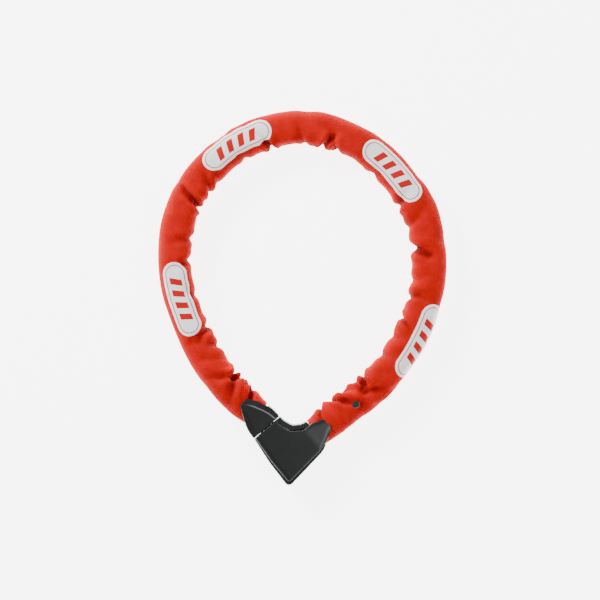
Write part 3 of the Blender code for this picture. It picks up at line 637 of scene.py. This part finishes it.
def build_sleeve():
    """The sleeve's pieces, cut at the middles of the links; pieces spanning a joint stay unattached, the
    others are carried by the chain's bodies.
    """
    s, points, fields = sleeve_surface()
    normals = grid_normals(points)
    bodies, middles = chain_order()
    pairs = {frozenset((j["parent"], j["child"])): j for j in frame["joints"]}
    rings = [int(np.argmin(np.abs(s - at))) for at in middles]
    cuts = [(0, rings[0], bodies[0], None)]
    for k in range(len(bodies) - 1):
        a, b = bodies[k], bodies[k + 1]
        low, high = rings[k], rings[k + 1]
        if frozenset((a, b)) in pairs:
            cuts.append((low, high, a, b))
        else:
            half = (low + high) // 2
            cuts += [(low, half, a, None), (half, high, b, None)]
    cuts.append((rings[-1], len(s) - 1, bodies[-1], None))
    for number, (low, high, a, b) in enumerate(cuts, 1):
        piece = make_piece(f"sleeve_cloth_{number:02d}", (low, high), points, normals, fields)
        if b is None:
            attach(piece, a)
        else:
            chord = line_point(s[high]) - line_point(s[low])
            length = np.linalg.norm(chord)
            chord /= length
            half = length / 2 - BLEND_INSET
            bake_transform(piece)
    for index, node in enumerate(SLEEVES):
        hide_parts(node)


build_sleeve()

# ---------------------------------------------------------------- the lock's moulded faces

# corners of the two fronts in the lock's plane: x, y and rounding in millimetres
BODY_FACE = [
    (1.5, 0.8, 3.4),
    (46.0, 4.4, 12.0),
    (58.5, 7.6, 14.0),
    (71.4, 14.6, 5.0),
    (69.6, 25.6, 5.5),
    (57.0, 30.6, 12.0),
    (46.6, 30.4, 8.0),
    (35.6, 38.6, 8.0),
    (33.0, 49.0, 8.0),
    (32.9, 55.6, 0.0),
    (5.0, 55.6, 0.0),
    (2.0, 28.0, 40.0),
]
PLUG_FACE = [
    (3.9, 56.6, 0.0),
    (37.7, 56.6, 0.0),
    (37.0, 68.5, 18.0),
    (31.4, 81.6, 14.0),
    (25.0, 91.3, 4.6),
    (15.4, 91.0, 4.0),
    (9.8, 79.6, 16.0),
    (4.9, 68.0, 18.0),
]
# (y, x) of the two lines where the plug's front changes slope
RIDGE = [(57.0, 33.0), (65.0, 31.6), (72.0, 29.0), (80.0, 25.2), (85.0, 22.0), (91.0, 17.5)]
LEFT_FACET = [(57.0, 5.4), (65.0, 9.6), (74.0, 13.4), (81.0, 15.2), (91.0, 17.2)]
FACE_TOP = 30.25
FACE_UNDER = 26.85
SHELL_CUT = 27.3
SHELL_TOP = 27.0
LEAST_PLATE = 0.45
SPLIT_BODY = 55.6
SPLIT_PLUG = 56.6
SPLIT_ROLL = (0.7, 0.5)
LEFT_EDGE = ([0.8, 28.0, 55.6], [1.5, 2.2, 5.0])
LEFT_CHAMFER = 3.4
RIDGE_SIDES = (-1.0, -0.6, -0.3, 0.0, 0.3, 0.6, 1.0)
RIDGE_STEP = 0.7
RING_DEPTHS = (0.18, 0.45, 0.85)
GRID_MARGIN = 1.35
CREASE_ANGLE = math.radians(32)
MERGE_DISTANCE = 0.004 * MM


def rounded(corners, steps=10):
    """Outline points in millimetres, each corner turned into an arc of its radius."""
    points = []
    for index, (x, y, radius) in enumerate(corners):
        corner = np.array([x, y])
        if radius == 0.0:
            points.append(corner)
            continue
        before = np.array(corners[index - 1][:2]) - corner
        after = np.array(corners[(index + 1) % len(corners)][:2]) - corner
        before, after = before / np.linalg.norm(before), after / np.linalg.norm(after)
        half = math.acos(float(np.clip(before @ after, -1, 1))) / 2
        middle = before + after
        centre = corner + middle / np.linalg.norm(middle) * radius / math.sin(half)
        start = corner + before * radius / math.tan(half) - centre
        end = corner + after * radius / math.tan(half) - centre
        turn = math.atan2(start[0] * end[1] - start[1] * end[0], float(start @ end))
        count = max(2, round(steps * abs(turn) / (math.pi / 2)))
        for k in range(count + 1):
            a = turn * k / count
            c, t = math.cos(a), math.sin(a)
            points.append(centre + np.array([c * start[0] - t * start[1], t * start[0] + c * start[1]]))
    return np.array(points)


def resampled(outline, spacing):
    """The closed outline with extra points on its long sides."""
    points = []
    for one, two in zip(outline, np.roll(outline, -1, axis=0)):
        count = max(1, round(np.linalg.norm(two - one) / spacing))
        points += [one + (two - one) * k / count for k in range(count)]
    return np.array(points)


def edge_distance(points, outline):
    """Distances from points to the closed outline, and a mask of the points inside it."""
    best = np.full(len(points), 1e9)
    inside = np.zeros(len(points), bool)
    for one, two in zip(outline, np.roll(outline, -1, axis=0)):
        side = two - one
        share = np.clip(((points - one) @ side) / (side @ side), 0, 1)
        best = np.minimum(best, np.linalg.norm(points - one - share[:, None] * side, axis=1))
        crosses = (one[1] > points[:, 1]) != (two[1] > points[:, 1])
        at = one[0] + (points[:, 1] - one[1]) * side[0] / (side[1] if side[1] else 1e-9)
        inside ^= crosses & (points[:, 0] < at)
    return best, inside


def rolled_edge(distance, width, drop):
    """How far a face is below its top near an edge that it rolls over."""
    share = np.clip(1 - distance / width, 0, 1)
    return drop * (1 - np.sqrt(np.maximum(0, 1 - share**2)))


def body_height(points, outline):
    """The lock body's face: crowned, chamfered on the left, and rolling down over the fixed arm's tongue."""
    x, y = points[:, 0], points[:, 1]
    distance, _ = edge_distance(points, outline)
    tongue = smooth((x - 44) / 18)
    left = np.maximum(0, 1 - (x - np.interp(y, *LEFT_EDGE)) / LEFT_CHAMFER) * smooth((y - 1) / 8)
    split = np.abs(SPLIT_BODY - y)
    drop = rolled_edge(distance, 1.5 + 3.5 * tongue, 1.1 + 0.5 * tongue)
    drop = np.where(split < distance + 1e-6, rolled_edge(split, *SPLIT_ROLL), drop)
    crown = 0.55 * np.clip(((x - 24) / 40) ** 2 + ((y - 26) / 40) ** 2, 0, 1.6)
    slope = 2.3 * smooth((x - 40) / 14) * np.clip((x - 46) / 24, 0, 1.2)
    return np.maximum(FACE_TOP + 0.45 - drop - crown - slope - 1.6 * left, FACE_UNDER + LEAST_PLATE)


def soft_ramp(t, r):
    """0 below -r, t above r, and a parabola between them."""
    return np.where(t < -r, 0, np.where(t > r, t, (t + r) ** 2 / (4 * r)))


def plug_height(points, outline):
    """The plug's tongue: a top between a curved ridge and a facet line, sloping down to both edges."""
    x, y = points[:, 0], points[:, 1]
    distance, _ = edge_distance(points, outline)
    ridge = np.interp(y, *np.array(RIDGE).T)
    facet = np.interp(y, *np.array(LEFT_FACET).T)
    drop = 0.56 * soft_ramp(x - ridge, 0.5) + 0.33 * soft_ramp(facet - x, 0.6)
    split = np.abs(SPLIT_PLUG - y)
    near_split = split < distance + 1e-6
    rolled = np.where(near_split, rolled_edge(split, *SPLIT_ROLL), rolled_edge(distance, 1.2, 0.7))
    drop = drop + rolled
    tip = smooth((y - 78) / 14)
    bead = 0.24 * np.exp(-(((x - ridge) / 0.5) ** 2))
    return np.maximum(FACE_TOP - drop - 0.9 * tip**2 + bead * (1 - tip), FACE_UNDER + LEAST_PLATE)


def clear_of(points, strips):
    """The points that keep one strip step away from the strips."""
    if not strips:
        return points
    gap = np.linalg.norm(points[:, None] - np.concatenate(strips)[None], axis=2).min(1)
    return points[gap > RIDGE_STEP]


def face_solid(name, corners, height, lines, spacing=1.0):
    """A closed plate over an outline, flat below and shaped above, with close rows of points along lines."""
    outline = resampled(rounded(corners), spacing)
    low, high = outline.min(0), outline.max(0)
    xs, ys = np.arange(low[0], high[0], spacing), np.arange(low[1], high[1], spacing)
    grid = np.stack(np.meshgrid(xs, ys), -1).reshape(-1, 2)
    distance, inside = edge_distance(grid, outline)
    inner = [grid[inside & (distance > GRID_MARGIN)]]
    for depth in RING_DEPTHS:
        along = np.roll(outline, -1, axis=0) - np.roll(outline, 1, axis=0)
        along /= np.linalg.norm(along, axis=1, keepdims=True)
        ring = outline + np.stack([-along[:, 1], along[:, 0]], 1) * depth
        gap, within = edge_distance(ring, outline)
        inner.append(ring[within & (gap > depth * 0.8)])
    for line in lines:
        ys = np.arange(line[0][0], line[-1][0], RIDGE_STEP)
        xs = np.interp(ys, *np.array(line).T)
        for side in RIDGE_SIDES:
            strip = np.stack([xs + side, ys], 1)
            gap, within = edge_distance(strip, outline)
            inner.append(strip[within & (gap > 1.0)])
    inner[0] = clear_of(inner[0], inner[1 + len(RING_DEPTHS) :])
    points = np.concatenate([outline, *inner])
    count = len(outline)
    edges = [(k, (k + 1) % count) for k in range(count)]
    flat, _, faces, *_ = delaunay_2d_cdt([Vector(p) for p in points], edges, [list(range(count))], 1, 1e-5)
    flat = np.array([tuple(p) for p in flat])
    top = height(flat, outline)
    uses = {}
    for face in faces:
        for one, two in zip(face, face[1:] + face[:1]):
            uses[(one, two)] = uses.get((one, two), 0) + 1
    border = [edge for edge in uses if (edge[1], edge[0]) not in uses]
    total = len(flat)
    world_flat = np.array([lock_point(*p) for p in flat])
    solid = [(*p, z * MM) for p, z in zip(world_flat, top)] + [(*p, FACE_UNDER * MM) for p in world_flat]
    skin = [list(f) for f in faces] + [[total + k for k in reversed(f)] for f in faces]
    skin += [[one, total + one, total + two, two] for one, two in border]
    return solid, skin


def store_painted_highlight(mesh, lines):
    """Stores where a highlight is painted on the front: near the lines, fading out at both their ends."""
    places = np.array([tuple(v.co) for v in mesh.vertices])
    flat = np.stack([(places[:, :2] - ELBOW) @ LOCK_X, (places[:, :2] - ELBOW) @ LOCK_Y], 1) / MM
    painted_highlight = np.zeros(len(places))
    for line in lines:
        away = np.abs(flat[:, 0] - np.interp(flat[:, 1], *np.array(line).T))
        fade = smooth((flat[:, 1] - line[0][0] + 1) / 3) * smooth((line[-1][0] - 2 - flat[:, 1]) / 9)
        painted_highlight = np.maximum(painted_highlight, np.clip(1.25 - away / 0.8, 0, 1) * fade)
    painted_highlight *= places[:, 2] > SHELL_CUT * MM
    # painted highlight: stored as the edge attribute, which the plastic mixes toward a light grey
    mesh.attributes.new("edge", "FLOAT", "POINT").data.foreach_set("value", painted_highlight)


def make_face(name, corners, height, lines, node, body, finish):
    """A moulded front: the CAD shell's lower part with a shaped face in place of its flat panel."""
    solid, skin = face_solid(name, corners, height, lines)
    old = NODES[node].data
    keep = [p for p in old.polygons if min(old.vertices[v].co.z for v in p.vertices) <= SHELL_CUT * MM]
    start = len(solid)
    shell = [(v.co.x, v.co.y, min(v.co.z, SHELL_TOP * MM)) for v in old.vertices]
    mesh = bpy.data.meshes.new(name)
    mesh.from_pydata(solid + shell, [], skin + [[start + v for v in p.vertices] for p in keep])
    mesh.materials.append(FINISHES[finish])
    shaper = bmesh.new()
    shaper.from_mesh(mesh)
    bmesh.ops.remove_doubles(shaper, verts=shaper.verts, dist=MERGE_DISTANCE)
    loose = [v for v in shaper.verts if not v.link_faces]
    bmesh.ops.delete(shaper, geom=loose, context="VERTS")
    for edge in shaper.edges:
        edge.smooth = len(edge.link_faces) == 2 and edge.calc_face_angle(math.tau) < CREASE_ANGLE
    for face in shaper.faces:
        face.smooth = True
    shaper.to_mesh(mesh)
    shaper.free()
    if lines:
        store_painted_highlight(mesh, lines)
    made = bpy.data.objects.new(name, mesh)
    bpy.context.scene.collection.objects.link(made)
    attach(made, body)
    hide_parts(node)


make_face("lock_front", BODY_FACE, body_height, [], "front_cover", "lock_body", "cover_plastic")
make_face("plug_front", PLUG_FACE, plug_height, [RIDGE], "plug_front_cover", "plug", "plug_plastic")

# ---------------------------------------------------------------- floor and light

FLOOR_HALF = 6
FLOOR_WHITE = (0.95, 0.95, 0.95, 1.0)
LIGHT_WHITE = (1.0, 1.0, 1.0, 1.0)

floor_mesh = bpy.data.meshes.new("floor")
corners = [(FLOOR_HALF * x, FLOOR_HALF * y, 0) for x, y in ((-1, -1), (1, -1), (1, 1), (-1, 1))]
floor_mesh.from_pydata(corners, [], [(0, 1, 2, 3)])
floor = bpy.data.objects.new("floor", floor_mesh)
bpy.context.scene.collection.objects.link(floor)
paper = Shader("floor_paper", Roughness=0.9, Base_Color=FLOOR_WHITE, Emission_Strength=5.4)
paper.principled.inputs["Emission Color"].default_value = LIGHT_WHITE
floor_mesh.materials.append(paper.material)

world = bpy.data.worlds.new("studio")
world.use_nodes = True
world.node_tree.nodes["Background"].inputs["Color"].default_value = LIGHT_WHITE
world.node_tree.nodes["Background"].inputs["Strength"].default_value = 0.40
bpy.context.scene.world = world


def soft_light(name, place, size, power):
    """A round lamp that faces the part."""
    data = bpy.data.lights.new(name, "AREA")
    data.shape = "DISK"
    data.size = size
    data.energy = power
    lamp = bpy.data.objects.new(name, data)
    lamp.location = place
    lamp.rotation_euler = (Vector((0, 0, MIDDLE_Z)) - Vector(place)).to_track_quat("-Z", "Y").to_euler()
    bpy.context.scene.collection.objects.link(lamp)


soft_light("key", (-1.5, 1.5, 1.25), 0.8, 100.0)
soft_light("fill", (1.0, -0.1, 1.9), 0.9, 22.0)
